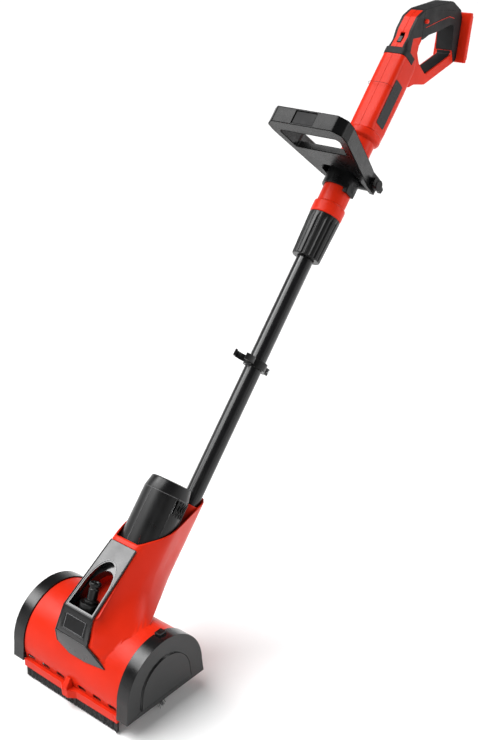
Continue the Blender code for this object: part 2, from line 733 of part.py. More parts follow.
def power_train():
    """Motor, gearbox and bevel pair on the motor line."""
    rotor = [(0, 22), (3.0, 22), (3.0, 6.3), (3.0, -60.3), (9.0, -60.3), (9.0, -72.0), (0, -72.0)]
    turned("motor_shaft", "steel", MOTOR_AXIS, rotor, steps=20)
    tube("motor_can", "steel", MOTOR_AXIS, 26.0, 3.4, -60.0, 2.0, steps=36)
    blades = 9
    edge = []
    for i in range(blades):
        start = 360 * i / blades
        edge += arc((0, 0), 30.0, start, start + 14, 2) + arc((0, 0), 12.0, start + 16, start + 38, 2)
    slab("cooling_fan", "black_shell", MOTOR_AXIS, [edge, circle((0, 0), 3.3, 20)], 6.0, 13.0, "XY")
    case = [(26.0, -61.0), (26.0, -76.0), (24.0, -78.0), (24.0, -112.0), (9.0, -116.0), (9.0, -119.0)]
    case += [(4.4, -119.0), (4.4, -76.0), (11.0, -74.0), (11.0, -61.0)]
    turned("gearbox_case", "steel", MOTOR_AXIS, case, steps=36, closed=True)
    profile = [(0, -78), (4, -78), (4, GEAR_S + 10), (2, GEAR_S + 10), (2, GEAR_S + 4.5), (0, GEAR_S + 4.5)]
    turned("output_shaft", "steel", MOTOR_AXIS, profile, steps=20)
    bevel_wheel("bevel_pinion", MOTOR_AXIS, "Z", 4.85, 3.2, GEAR_S + 8.2, GEAR_S + 4.5, 2.3, 9)


def motor_housing():
    """Black motor cap: a cup open downwards, with a vent window under louvres on its right."""
    radius, wall = MOTOR_R, 2.8
    top = MOTOR_TO
    profile = [(0, top), (30.5, top), (33.5, top - 1.5), (radius, top - 20), (radius, MOTOR_FROM)]
    profile += [(radius - wall, MOTOR_FROM), (radius - wall, top - 21), (29.0, top - 4), (0, top - wall)]
    made = turned("motor_housing", "black_shell", MOTOR_AXIS, profile, steps=48)
    for i in range(5):
        low = (28, -14 + i * 6.6, -14)
        high = (45, -10.6 + i * 6.6, 8)
        cut(made, box(f"vent_{i}", None, MOTOR_AXIS, low, high))
    return made


def pole():
    tube("pole_tube", "black_tube", POLE_AXIS, POLE_R, POLE_BORE, POLE_FROM, POLE_TO, steps=32)
    profile = [(0, 25.4), (4.4, 25.4), (4.4, 22.6), (2.4, 22.6), (2.4, 15.4), (0, 15.4)]
    turned("pole_screw", "steel", POLE_AXIS, profile, "Y", 16, origin=(0, 0, -2))


# ---------------------------------------------------------------- on the pole

def hose_clip():
    """Ring round the pole with an open hose hook in front and a screw lug behind."""
    ring = circle((0, 0), 19.5, 32)
    made = slab("hose_clip", "black_shell", POLE_AXIS, [ring, circle((0, 0), POLE_FIT_R, 32)], 257, 271, "XY")
    hook_c = (0, -36.0)
    hook = arc(hook_c, 18.5, -50, 230, 20) + arc(hook_c, 14.5, 230, -50, 20)
    hook_solid = slab("clip_hook", None, POLE_AXIS, [hook], 258.5, 269.5, "XY")
    lug = box("clip_lug", None, POLE_AXIS, (-8, 16, 258), (8, 33, 270))
    join(made, hook_solid, lug)
    cut(made, box("clip_split", None, POLE_AXIS, (-1, 12, 250), (1, 40, 280)))
    cut(made, rod("clip_screw_bore", None, POLE_AXIS, 2.6, -12, 12, "X", 16, (0, 26, 264)))
    profile = [(0, 12.5), (2.3, 12.5), (2.3, -8.4), (4.2, -8.4), (4.2, -11.4), (0, -11.4)]
    turned("clip_screw", "steel", POLE_AXIS, profile, "X", 16, origin=(0, 26, 264))


def fluted_ring(radius, height, flutes, depth):
    ring = []
    for i in range(flutes * 4):
        angle = 2 * math.pi * i / (flutes * 4)
        reach = radius - (depth if i % 4 == 0 else 0.0)
        ring.append((reach * math.cos(angle), reach * math.sin(angle), height))
    return ring


def twist_collar():
    levels = ((24.0, 462.0, 0.2), (24.9, 464.0, 1.6), (27.0, 530.0, 1.8), (27.4, 540.0, 0.4))
    rings = [fluted_ring(r, s, 14, depth) for r, s, depth in levels]
    made = loft("twist_collar", "black_shell", POLE_AXIS, rings)
    profile = [(0, 560), (20.3, 560), (20.3, 470), (POLE_FIT_R + 0.2, 470), (POLE_FIT_R + 0.2, 440), (0, 440)]
    cut(made, turned("collar_bore", None, POLE_AXIS, profile, steps=32))
    edge = arc((0, 0), 19.8, 6, 354, 30) + arc((0, 0), POLE_FIT_R, 354, 6, 30)
    slab("clamp_collet", "black_shell", POLE_AXIS, [edge], 470.5, 539.0, "XY")


def neck_sleeve():
    """Red neck between the twist collar and the body, with a flange at each end."""
    inner = POLE_FIT_R + 0.1
    profile = [(29.0, 704.0), (31.0, 702.0), (31.0, 692.5), (29.5, 690.0), (NECK_R, 687.0)]
    profile += [(NECK_R, 562.5), (27.2, 561.5), (28.0, 559.5), (28.0, 542.5), (26.8, 540.5)]
    profile += [(inner, 540.5), (inner, 704.0)]
    turned("neck_sleeve", "red_shell", POLE_AXIS, profile, steps=40, closed=True)


def front_bracket():
    """Clamp hub round the neck with the pivot barrel behind it."""
    inner = NECK_R + GAP
    made = rod("front_bracket", "black_shell", POLE_AXIS, HUB_R, 593.0, 651.0, steps=40)
    barrel = rod("pivot_barrel", None, POLE_AXIS, 12.5, -31.0, 31.0, "X", 28, (0, -PIVOT_N, PIVOT_S))
    join(made, barrel, box("clamp_tab", None, POLE_AXIS, (20.0, -16.0, 586.0), (29.0, 10.0, 600.0)))
    cut(made, rod("bolt_bore", None, POLE_AXIS, 4.5, -60.0, 60.0, "X", 20, (0, -PIVOT_N, PIVOT_S)))
    return cut(made, rod("neck_clear", None, POLE_AXIS, inner, 570.0, 670.0, steps=36))


# Front handle outline in its own plane: x across, m forwards from the pivot
FRAME_OUTER = ((41.3, -12), (41.3, 18), (50, 55), (73.7, 164), (73.7, 184), (60, 197), (-60, 197),
               (-73.7, 184), (-73.7, 164), (-50, 55), (-41.3, 18), (-41.3, -12), (-32, -12), (-32, 56),
               (-22, 71), (22, 71), (32, 56), (32, -12))
FINGER_GAP = ((-51, 120), (51, 120), (59, 164), (54, 170), (-54, 170), (-59, 164))


def frame_slab(name, slot, outlines, low, high):
    """An outline given as (x, m); the pivot frame's Y points to the rear, so m is turned round."""
    turned_over = [[(x, -m) for x, m in outline] for outline in outlines]
    return slab(name, slot, FRAME_PIVOT, turned_over, low, high, "XY")


def front_handle():
    radii = [4, 10, 10, 8, 8, 8, 8, 8, 8, 10, 10, 4, 4, 8, 8, 8, 8, 4]
    outer = rounded(FRAME_OUTER, radii)
    made = frame_slab("front_handle", "black_shell", [outer, rounded(FINGER_GAP, 5)], -13.0, 15.0)
    bevel(made, 2.5, 2, 50)
    web = rounded([(-34, 50), (34, 50), (43, 76), (53, 122), (-53, 122), (-43, 76)], 5)
    cut(made, frame_slab("web_clear", None, [web], -2, 30))
    cut(made, rod("arm_bore", None, FRAME_PIVOT, 4.5, -60, 60, "X", 20))
    inset_cut = ((-21, 179), (21, 179), (21, 205), (-21, 205))
    cut(made, frame_slab("inset_recess", None, [inset_cut], -10.5, 12.5))
    pad = ((-20.7, 179.3), (20.7, 179.3), (20.7, 195.5), (-20.7, 195.5))
    bevel(frame_slab("grip_inset", "rubber", [pad], -10.2, 12.2), 1.5, 2)
    profile = [(0, 47), (4.0, 47), (4.0, -41.6), (8.0, -41.6), (8.0, -46.0), (0, -46.0)]
    turned("pivot_bolt", "steel", FRAME_PIVOT, profile, "X", 20)
    knob = slab("clamp_knob", "black_shell", FRAME_PIVOT, [circle((0, 0), 9.5, 24)], 41.6, 51.0)
    wing = rounded([(-5, -5), (16, -7), (18, 2), (5, 7), (-5, 7), (-16, 7), (-18, -2), (-6, -6)], 2.0)
    join(knob, slab("knob_wings", None, FRAME_PIVOT, [wing], 43.0, 49.5))
    cut(knob, rod("knob_bore", None, FRAME_PIVOT, 4.3, 35, 48, "X", 20))


# ---------------------------------------------------------------- body and D-handle

FOOT_HALF = 33.0
# The rear bar's back face, from its low to its high end, as (y, z)
FOOT_LOW, FOOT_HIGH = (908.0, 834.0), (921.0, 905.0)

# The D-handle's outline in (y, z), anticlockwise seen from +X with Y to the right
HANDLE_OUTER = ((750, 808), (770, 811), (804, 806), FOOT_LOW, FOOT_HIGH, (916, 921), (885, 940),
                (800, 934), (775, 924), (757, 905), (740, 872), (735, 840))
HANDLE_GAP = ((806, 823), (891, 846), (893, 901), (846, 893), (792, 888), (774, 868), (784, 845))
GRIP_REGION = ((783, 885), (789.0, 890), (797, 945), (960, 945), (960, 870), (955, 800), (903, 812),
               (893, 850), (880, 880))
BODY_SECTIONS = (
    (704.5, 25.5, -27.0, 24.5, 16.0),
    (716.0, BODY_HALF, -29.0, 25.0, 13.0),
    (800.0, BODY_HALF, -30.0, 25.0, 13.0),
    (846.0, 22.6, -29.0, 25.0, 12.0),
    (868.0, 18.5, -22.0, 24.0, 9.0),
    (893.0, 15.5, -16.0, 21.0, 8.0),
    (905.0, 13.0, -12.0, 16.0, 7.0),
)


def handle_edge():
    return rounded(HANDLE_OUTER, [8, 8, 14, 10, 8, 8, 25, 20, 12, 14, 8, 8])


def body_solid(name, slot, wall):
    """Rounded-box sections up the pole line, from the neck's flange to the handle's tip."""
    rings = []
    for s, half, low, high, corner in BODY_SECTIONS:
        half, low, high = half - wall, low + wall, high - wall
        corners = [(-half, -high), (half, -high), (half, -low), (-half, -low)]
        rings.append([(x, y, s) for x, y in rounded(corners, max(corner - wall, 2.0), 5)])
    if wall:
        rings = [[(x, y, s - 20) for x, y, s in rings[0]]] + rings[:-1]
    return loft(name, slot, POLE_AXIS, rings)


def handle_shell(name, side):
    """One half of the red body: split at x = 0, hollow, open where the soft grip sits."""
    made = body_solid(name, "red_shell", 0.0)
    loop = slab(name + "_loop", None, MACHINE, [handle_edge(), rounded(HANDLE_GAP, 8)], -GRIP_HALF, GRIP_HALF)
    bevel(loop, 3.0, 2, 60)
    inner = rounded(inset(HANDLE_OUTER, 3.0), 3)
    gap_wall = rounded(inset(HANDLE_GAP[::-1], 3.0), 5)
    hollow = slab(name + "_hollow", None, MACHINE, [inner, gap_wall], -GRIP_HALF + 3, GRIP_HALF - 3)
    join(made, loop)
    cut(made, body_solid(name + "_room", None, 2.8), hollow)
    cut(made, slab(name + "_grip_cut", None, MACHINE, [list(GRIP_REGION)], -40, 40))
    low, high = ((-80, GAP / 2) if side > 0 else (-GAP / 2, 80))
    cut(made, box(name + "_split", None, MACHINE, (low, 600, 600), (high, 1000, 1000)))
    return made


def main_handle():
    for name, side in (("handle_shell_left", -1), ("handle_shell_right", 1)):
        shell = handle_shell(name, side)
        cut(shell, box(name + "_switch_slot", None, POLE_AXIS, (-4.4, -50, 868), (4.4, -14, 888)))
        cut(shell, box(name + "_band_groove", None, POLE_AXIS, (-40, -60, BAND_FROM), (40, 8.5, BAND_TO)))
        cut(shell, rod(name + "_lock_bore", None, MACHINE, 4.1, -30, 30, "X", 20, LOCK_AT))
    grip()
    controls()
    trims()
    battery_foot()


TRIGGER_PIVOT = (0, 838.0, 910.0)
LOCK_AT = (0, 799.5, 914.0)


def foot_point(along, out):
    """A point this far up the foot's slope from its low end and this far behind the rear bar."""
    up = (Vector(FOOT_HIGH) - Vector(FOOT_LOW)).normalized()
    return tuple(Vector(FOOT_LOW) + up * along + Vector((up.y, -up.x)) * out)


def foot_slab(name, slot, half, low, high, near, far):
    corners = [foot_point(low, near), foot_point(low, far), foot_point(high, far), foot_point(high, near)]
    return slab(name, slot, MACHINE, [corners], -half, half)


def battery_foot():
    """Red sliding seat for the battery pack, with its two rails and the terminal block."""
    plate = foot_slab("battery_foot", "red_shell", FOOT_HALF, -3.0, 84.0, GAP + 0.1, 9.0)
    bevel(plate, 1.5, 2)
    join(plate, foot_slab("rail_web", None, 25.0, 2.0, 80.0, 7.0, 15.0))
    join(plate, foot_slab("rail_lips", None, 30.0, 3.0, 79.0, 12.0, 15.4))
    cut(plate, foot_slab("rail_channel", None, 19.0, -10.0, 74.0, 9.0, 20.0))
    foot_slab("battery_terminals", "black_shell", 13.0, 20.0, 66.0, 9.4, 15.0)


def grip():
    """Black soft grip: the top and rear of the loop in one overmoulded piece."""
    edge = handle_edge()
    made = slab("soft_grip", "rubber", MACHINE, [edge, rounded(HANDLE_GAP, 8)], -GRIP_HALF, GRIP_HALF)
    bevel(made, 3.0, 2, 60)
    keep = inset(list(GRIP_REGION)[::-1], GAP)
    boolean(made, "INTERSECT", slab("grip_keep", None, MACHINE, [keep], -40, 40))
    cut(made, box("trigger_room", None, MACHINE, (-8.5, 805.5, 870), (8.5, 846, 922)))
    cut(made, box("trigger_nose_room", None, MACHINE, (-8.4, 795, 869), (8.4, 806, 905)))
    cut(made, box("switch_room", None, MACHINE, (-8.3, 845, 899), (8.3, 874, 921)))
    cut(made, rod("lock_bore", None, MACHINE, 4.1, -30, 30, "X", 20, LOCK_AT))


def controls():
    """Trigger, lock-off button, switches and board with the springs behind them."""
    line = [(807, 914), (807, 893), (801, 887.5), (801, 883.5), (806, 881.5), (824, 887), (842, 896),
            (842, 914)]
    trigger = slab("trigger", "black_shell", MACHINE, [rounded(line, [1, 1, 1, 2, 3, 6, 4, 2])], -7.8, 7.8,
                   origin=TRIGGER_PIVOT)
    bevel(trigger, 1.0, 2, 60)
    spring("trigger_spring", "steel", MACHINE, 2.6, 0.4, 5, 914.4, 921.6, (0, 818, 0))
    box("microswitch", "black_shell", MACHINE, (-6, 848, 902), (6, 871, 917))
    profile = [(0, 21.0), (3.0, 21.0), (3.8, 20.0), (3.8, -20.0), (3.0, -21.0), (0, -21.0)]
    turned("lock_button", "red_shell", MACHINE, profile, "X", 20, origin=LOCK_AT)
    box("control_board", "board", POLE_AXIS, (-14, 6, 752), (14, 7.6, 828))
    slider = box("speed_switch", "black_shell", POLE_AXIS, (-3.9, -24.5, 869), (3.9, -15.5, 881),
                 (0, -20, 875))
    bevel(slider, 0.8, 1)


def trims():
    """Rubber band round the body's shoulder and the plain panel on its side."""
    half, front, back = 22.9, -25.4, 8.2
    edge = rounded([(-half, front), (half, front), (half, back), (-half, back)], [11, 11, 0, 0], 5)
    low = rounded([(-20.2, -22.6), (20.2, -22.6), (20.2, 9), (-20.2, 9)], [8, 8, 0, 0], 5)
    band = slab("grip_band", "rubber", POLE_AXIS, [edge], BAND_FROM + 0.4, BAND_TO - 0.4, "XY")
    cut(band, slab("band_room", None, POLE_AXIS, [low], BAND_FROM - 9, BAND_TO + 9, "XY"))
    label = rounded([(-16, 719), (9.5, 719), (9.5, 803), (-16, 803)], 3)
    slab("side_label", "label", POLE_AXIS, [label], BODY_HALF + GAP, BODY_HALF + 0.9)


def build():
    head_housing()
    front_trim()
    hose_connector()
    side_covers()
    front_strip()
    brush_drum()
    belt_drive()
    power_train()
    motor_housing()
    pole()
    hose_clip()
    twist_collar()
    neck_sleeve()
    front_bracket()
    front_handle()
    main_handle()
    for made in PARTS.objects:
        if made.type == "MESH":
            smooth(made)


build()
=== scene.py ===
"""Looks of a cordless powered drum brush on a pale studio floor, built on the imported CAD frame."""
import json
import math
import random

import bmesh
import bpy
from mathutils import Matrix, Vector


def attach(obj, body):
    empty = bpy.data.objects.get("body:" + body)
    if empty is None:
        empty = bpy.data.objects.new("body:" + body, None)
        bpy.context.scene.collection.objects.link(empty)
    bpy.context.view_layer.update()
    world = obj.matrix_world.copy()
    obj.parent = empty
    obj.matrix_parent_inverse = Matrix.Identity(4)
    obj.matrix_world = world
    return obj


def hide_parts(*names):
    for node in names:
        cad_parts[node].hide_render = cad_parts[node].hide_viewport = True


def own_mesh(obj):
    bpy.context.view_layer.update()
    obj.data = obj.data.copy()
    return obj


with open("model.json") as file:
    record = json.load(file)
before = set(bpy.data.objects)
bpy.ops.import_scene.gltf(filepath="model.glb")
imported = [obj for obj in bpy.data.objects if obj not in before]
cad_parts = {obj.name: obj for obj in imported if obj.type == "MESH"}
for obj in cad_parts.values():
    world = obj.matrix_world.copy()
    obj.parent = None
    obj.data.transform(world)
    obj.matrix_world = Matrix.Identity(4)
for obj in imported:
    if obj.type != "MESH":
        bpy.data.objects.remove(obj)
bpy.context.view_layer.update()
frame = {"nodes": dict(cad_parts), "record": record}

MM = 0.001
Y_CENTRE = 0.42369          # from the drum axis to the middle of the CAD box, in m
DRUM_Z, ARCH_Z = 57.5, 54.0  # heights of the drum's and the arch's axis, in mm
POLE_LEAN = math.radians(41.33)
POLE_FOOT = Vector((0, 0.1862 - Y_CENTRE, 0.217))
POLE_UP = Vector((0, math.sin(POLE_LEAN), math.cos(POLE_LEAN)))
POLE_FRONT = Vector((0, -math.cos(POLE_LEAN), math.sin(POLE_LEAN)))


def model(x, y, z):
    """A point given in mm from the floor under the drum axis, in the shared frame."""
    return Vector((x * MM, y * MM - Y_CENTRE, z * MM))


def pole(x, s, n):
    """A point given in mm along the pole (s) and in front of it (n), in the shared frame."""
    return POLE_FOOT + Vector((x * MM, 0, 0)) + POLE_UP * s * MM + POLE_FRONT * n * MM


def show(made):
    """Links an object to the scene."""
    bpy.context.scene.collection.objects.link(made)


# ---------------------------------------------------------------- materials

RANGE_SOCKETS = ("From Min", "From Max", "To Min", "To Max")


def set_range(node, *numbers):
    for key, number in zip(RANGE_SOCKETS, numbers):
        node.inputs[key].default_value = number


class Tree:
    """A small helper to build a material's node tree."""

    def __init__(self, name):
        self.material = bpy.data.materials.new(name)
        self.material.use_nodes = True
        self.nodes = self.material.node_tree.nodes
        self.links = self.material.node_tree.links
        self.shader = self.nodes["Principled BSDF"]
        self.place = self.nodes.new("ShaderNodeTexCoord").outputs["Object"]

    def link(self, source, target):
        self.links.new(source, target)

    def stretched(self, scale):
        node = self.nodes.new("ShaderNodeMapping")
        node.inputs["Scale"].default_value = scale
        self.link(self.place, node.inputs["Vector"])
        return node.outputs["Vector"]

    def noise(self, scale, detail=3.0, vector=None):
        node = self.nodes.new("ShaderNodeTexNoise")
        node.inputs["Scale"].default_value = scale
        node.inputs["Detail"].default_value = detail
        self.link(vector or self.place, node.inputs["Vector"])
        return node.outputs["Fac"]

    def voronoi(self, scale):
        node = self.nodes.new("ShaderNodeTexVoronoi")
        node.inputs["Scale"].default_value = scale
        self.link(self.place, node.inputs["Vector"])
        return node.outputs["Distance"]

    def remap(self, value, low, high, new_low, new_high):
        node = self.nodes.new("ShaderNodeMapRange")
        set_range(node, low, high, new_low, new_high)
        self.link(value, node.inputs["Value"])
        return node.outputs["Result"]

    def mix(self, factor, colour_a, colour_b):
        node = self.nodes.new("ShaderNodeMix")
        node.data_type = "RGBA"
        self.link(factor, node.inputs["Factor"])
        for socket, colour in ((node.inputs["A"], colour_a), (node.inputs["B"], colour_b)):
            if isinstance(colour, tuple):
                socket.default_value = (*colour, 1.0)
            else:
                self.link(colour, socket)
        return node.outputs["Result"]

    def worn_edges(self, low, high, amount):
        pointed = self.nodes.new("ShaderNodeNewGeometry").outputs["Pointiness"]
        rough = self.remap(self.noise(90.0, 5.0), 0.35, 0.65, 0.0, amount)
        node = self.nodes.new("ShaderNodeMath")
        node.operation = "MULTIPLY"
        self.link(self.remap(pointed, low, high, 0.0, 1.0), node.inputs[0])
        self.link(rough, node.inputs[1])
        return node.outputs["Value"]

    def bump(self, height, strength, distance, normal=None):
        node = self.nodes.new("ShaderNodeBump")
        node.inputs["Strength"].default_value = strength
        node.inputs["Distance"].default_value = distance
        self.link(height, node.inputs["Height"])
        if normal:
            self.link(normal, node.inputs["Normal"])
        return node.outputs["Normal"]


def shade(shader, **values):
    for key, value in values.items():
        shader.inputs[key.replace("_", " ")].default_value = value


def plastic(name, colour, roughness, grain, grain_size=1400.0, wear=0.35, coat=0.0, flow=0.0, specular=0.35):
    """Moulded plastic: slight mottling, fine grain, uneven gloss and paler worn edges."""
    tree = Tree(name)
    darker = tuple(c * 0.86 for c in colour)
    lighter = tuple(min(1.0, c * 1.08 + 0.002) for c in colour)
    scuffed = tuple(min(1.0, c * 1.25 + 0.02) for c in colour)
    mottled = tree.mix(tree.remap(tree.noise(9.0, 4.0), 0.3, 0.7, 0.0, 1.0), darker, lighter)
    worn = tree.mix(tree.worn_edges(0.53, 0.60, wear), mottled, scuffed)
    tree.link(worn, tree.shader.inputs["Base Color"])
    gloss = tree.remap(tree.noise(38.0, 6.0), 0.3, 0.7, roughness - 0.05, roughness + 0.06)
    tree.link(gloss, tree.shader.inputs["Roughness"])
    normal = tree.bump(tree.noise(grain_size, 2.0), grain, 0.0002)
    if flow:
        normal = tree.bump(tree.noise(22.0, 1.0), flow, 0.002, normal)
    tree.link(normal, tree.shader.inputs["Normal"])
    shade(tree.shader, Specular_IOR_Level=specular, Coat_Weight=coat, Coat_Roughness=0.12)
    return tree.material


def rubber(name, colour):
    """Soft overmould: pebbled grain, matt with faint shiny rubbed patches."""
    tree = Tree(name)
    dust = tuple(c + 0.008 for c in colour)
    tree.link(tree.mix(tree.remap(tree.noise(60.0, 6.0), 0.45, 0.75, 0.0, 1.0), colour, dust),
              tree.shader.inputs["Base Color"])
    tree.link(tree.remap(tree.noise(25.0, 3.0), 0.3, 0.7, 0.46, 0.66), tree.shader.inputs["Roughness"])
    normal = tree.bump(tree.voronoi(900.0), 0.25, 0.0003)
    tree.link(tree.bump(tree.noise(3000.0, 2.0), 0.15, 0.0001, normal), tree.shader.inputs["Normal"])
    shade(tree.shader, Specular_IOR_Level=0.25)
    return tree.material


def metal(name, colour, roughness, lay):
    """Turned or drawn metal: fine streaks along one direction and slight tarnish."""
    tree = Tree(name)
    streaks = tree.noise(60.0, 4.0, tree.stretched(lay))
    dull = tuple(c * 0.72 for c in colour)
    tree.link(tree.mix(tree.remap(streaks, 0.3, 0.7, 0.0, 1.0), dull, colour), tree.shader.inputs["Base Color"])
    tree.link(tree.remap(streaks, 0.3, 0.7, roughness - 0.08, roughness + 0.12), tree.shader.inputs["Roughness"])
    tree.link(tree.bump(streaks, 0.12, 0.0001), tree.shader.inputs["Normal"])
    shade(tree.shader, Metallic=1.0)
    return tree.material


def nylon(name, dark, light):
    """Bristles: dark filaments whose tone changes from tuft to tuft."""
    tree = Tree(name)
    tone = tree.remap(tree.noise(260.0, 2.0), 0.35, 0.65, 0.0, 1.0)
    tree.link(tree.mix(tone, dark, light), tree.shader.inputs["Base Color"])
    tree.link(tree.remap(tree.noise(500.0, 1.0), 0.3, 0.7, 0.38, 0.62), tree.shader.inputs["Roughness"])
    tree.link(tree.bump(tree.noise(4000.0, 1.0), 0.1, 0.0001), tree.shader.inputs["Normal"])
    shade(tree.shader, Specular_IOR_Level=0.5)
    return tree.material


def circuit(name):
    """A green board with paler tracks."""
    tree = Tree(name)
    tracks = tree.remap(tree.voronoi(260.0), 0.08, 0.12, 1.0, 0.0)
    tree.link(tree.mix(tracks, (0.015, 0.13, 0.05), (0.03, 0.24, 0.09)), tree.shader.inputs["Base Color"])
    tree.link(tree.remap(tree.noise(80.0), 0.3, 0.7, 0.3, 0.45), tree.shader.inputs["Roughness"])
    tree.link(tree.bump(tracks, 0.2, 0.0001), tree.shader.inputs["Normal"])
    return tree.material


def floor_material():
    tree = Tree("studio_floor")
    tree.link(tree.mix(tree.noise(1.2, 3.0), (0.86, 0.86, 0.86), (0.90, 0.90, 0.90)),
              tree.shader.inputs["Base Color"])
    shade(tree.shader, Roughness=0.9, Specular_IOR_Level=0.1)
    return tree.material


LOOKS = {
    "red_shell": plastic("red_shell", (0.60, 0.020, 0.0045),
        roughness=0.33, grain=0.05, grain_size=1800.0, wear=0.15, coat=0.0, flow=0.03, specular=0.13),
    "black_shell": plastic("black_shell", (0.0042, 0.0043, 0.0045),
        roughness=0.30, grain=0.10, grain_size=1500.0, wear=0.4, coat=0.0, flow=0.04, specular=0.30),
    "satin_trim": plastic("satin_trim", (0.045, 0.045, 0.046),
        roughness=0.30, grain=0.10, grain_size=1500.0, wear=0.35, coat=0.0, flow=0.02, specular=0.5),
    "rubber": rubber("rubber", (0.004, 0.004, 0.0045)),
    "bristle": nylon("bristle", (0.003, 0.003, 0.003), (0.016, 0.015, 0.015)),
    "steel": metal("steel", (0.60, 0.61, 0.62), 0.30, (1.0, 14.0, 14.0)),
    "black_tube": plastic("black_tube", (0.0035, 0.0035, 0.004),
        roughness=0.20, grain=0.03, grain_size=900.0, wear=0.2, coat=0.2, flow=0.02, specular=0.35),
    "label": plastic("label", (0.004, 0.004, 0.0045),
        roughness=0.30, grain=0.02, grain_size=900.0, wear=0.1, coat=0.0, flow=0.0, specular=0.25),
    "board": circuit("board"),
}
GLOSS_BLACK = plastic("gloss_black", (0.004, 0.004, 0.0045),
    roughness=0.18, grain=0.03, grain_size=1200.0, wear=0.3, coat=0.2, flow=0.0, specular=0.45)
COVER_BLACK = plastic("cover_black", (0.0042, 0.0043, 0.0045),
    roughness=0.22, grain=0.07, grain_size=1500.0, wear=0.5, coat=0.0, flow=0.03, specular=0.38)
FRAME_BLACK = plastic("frame_black", (0.0030, 0.0031, 0.0033),
    roughness=0.27, grain=0.14, grain_size=1500.0, wear=0.5, coat=0.0, flow=0.04, specular=0.17)
# Darker red for the body's moulded line: painted shade of its groove.
GROOVE_SHADE_RED = plastic("groove_shade_red", (0.22, 0.006, 0.003),
    roughness=0.40, grain=0.03, grain_size=1500.0, wear=0.1, coat=0.0, flow=0.0, specular=0.15)
# Lighter grey for the bead round the window: a painted highlight along the window's edge.
WINDOW_EDGE_HIGHLIGHT = plastic("bright_trim", (0.30, 0.30, 0.31),
    roughness=0.26, grain=0.05, grain_size=1500.0, wear=0.2)
# Light grey for the motor cap's seam beads: real seams, with a painted highlight in their colour.
SEAM_HIGHLIGHT_GREY = plastic("seam_highlight_grey", (0.10, 0.10, 0.102),
    roughness=0.20, grain=0.02, grain_size=1500.0, wear=0.1, coat=0.0, flow=0.0, specular=0.6)
PRINT_GREY = plastic("print_grey", (0.32, 0.32, 0.33),
    roughness=0.35, grain=0.02, grain_size=1500.0, wear=0.0)


# ---------------------------------------------------------------- pieces

BODY_OF = {node: body for body, nodes in frame["record"]["behaviour"]["bodies"].items() for node in nodes}
SLOT_OF = {entry["node"]: entry["material_slot"] for entry in frame["record"]["subparts"]}


def piece(name, mesh, body, slot, look=None):
    """A named piece that rides on a body and shows a material slot's look, or its own."""
    made = bpy.data.objects.new(name, mesh)
    show(made)
    mesh.materials.clear()
    mesh.materials.append(look or LOOKS[slot])
    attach(made, body)
    return made


WELD, CUT_SNAP = 0.002 * MM, 0.001 * MM
BEVEL_STEPS, EDGE_ANGLE = 2, math.radians(34)
SHARP_ANGLE = math.radians(40)
FLAT_EVENNESS, SOFT_EVENNESS = 50, 22
SOFT_FORMS = ("front_handle", "grip_inset", "soft_grip", "front_bracket", "hose_connector_stub")


def rounded_edges(made, width, evenness=FLAT_EVENNESS):
    """Rounds the edges, and keeps flat faces flat in the shading: more so with a higher evenness."""
    rim = made.modifiers.new("rounded_edges", "BEVEL")
    rim.width = width * MM
    rim.segments = BEVEL_STEPS
    rim.limit_method = "ANGLE"
    rim.angle_limit = EDGE_ANGLE
    rim.use_clamp_overlap = False
    rim.harden_normals = True
    flat = made.modifiers.new("flat_faces", "WEIGHTED_NORMAL")
    flat.keep_sharp = True
    flat.weight = evenness


def refined(node, width, look=None):
    """A smooth-shaded copy of a CAD node with rounded edges, shown in the node's place."""
    shape = bmesh.new()
    shape.from_mesh(frame["nodes"][node].data)
    bmesh.ops.remove_doubles(shape, verts=shape.verts, dist=WELD)
    mesh = bpy.data.meshes.new(node + "_shape")
    shape.to_mesh(mesh)
    shape.free()
    mesh.shade_smooth()
    made = piece(node + "_fine", mesh, BODY_OF[node], SLOT_OF[node], look)
    if width:
        rounded_edges(made, width, SOFT_EVENNESS if node in SOFT_FORMS else FLAT_EVENNESS)
    else:
        mesh.set_sharp_from_angle(angle=EDGE_ANGLE)
    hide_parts(node)
    return made


STRAND_TAPER = 0.45


def strands(name, body, paths, radius):
    """Thin tapered three-sided filaments along short paths of points."""
    points, faces = [], []
    for path in paths:
        start = len(points)
        direction = (path[-1] - path[0]).normalized()
        side = direction.orthogonal().normalized()
        other = direction.cross(side)
        for i, point in enumerate(path):
            reach = radius * MM * (1.0 - STRAND_TAPER * i / (len(path) - 1))
            for k in range(3):
                turn = 2 * math.pi * k / 3
                points.append(point + (side * math.cos(turn) + other * math.sin(turn)) * reach)
        for i in range(len(path) - 1):
            for k in range(3):
                a, b = start + i * 3 + k, start + i * 3 + (k + 1) % 3
                faces.append((a, b, b + 3, a + 3))
        end = start + (len(path) - 1) * 3
        faces.append((end, end + 1, end + 2))
        faces.append((start + 2, start + 1, start))
    mesh = bpy.data.meshes.new(name)
    mesh.from_pydata(points, [], faces)
    mesh.shade_smooth()
    return piece(name, mesh, body, "bristle")


def bead(name, points, radius, body, slot, look=None, closed=False):
    """A thin round moulded line along a path."""
    curve = bpy.data.curves.new(name, "CURVE")
    curve.dimensions = "3D"
    curve.bevel_depth = radius * MM
    curve.bevel_resolution = 3
    curve.use_fill_caps = True
    line = curve.splines.new("POLY")
    line.points.add(len(points) - 1)
    for point, place in zip(line.points, points):
        point.co = (*place, 1)
    line.use_cyclic_u = closed
    draft = bpy.data.objects.new(name + "_draft", curve)
    show(draft)
    bpy.context.view_layer.update()
    mesh = bpy.data.meshes.new_from_object(draft.evaluated_get(bpy.context.evaluated_depsgraph_get()))
    bpy.data.objects.remove(draft)
    mesh.shade_smooth()
    return piece(name, mesh, body, slot, look)


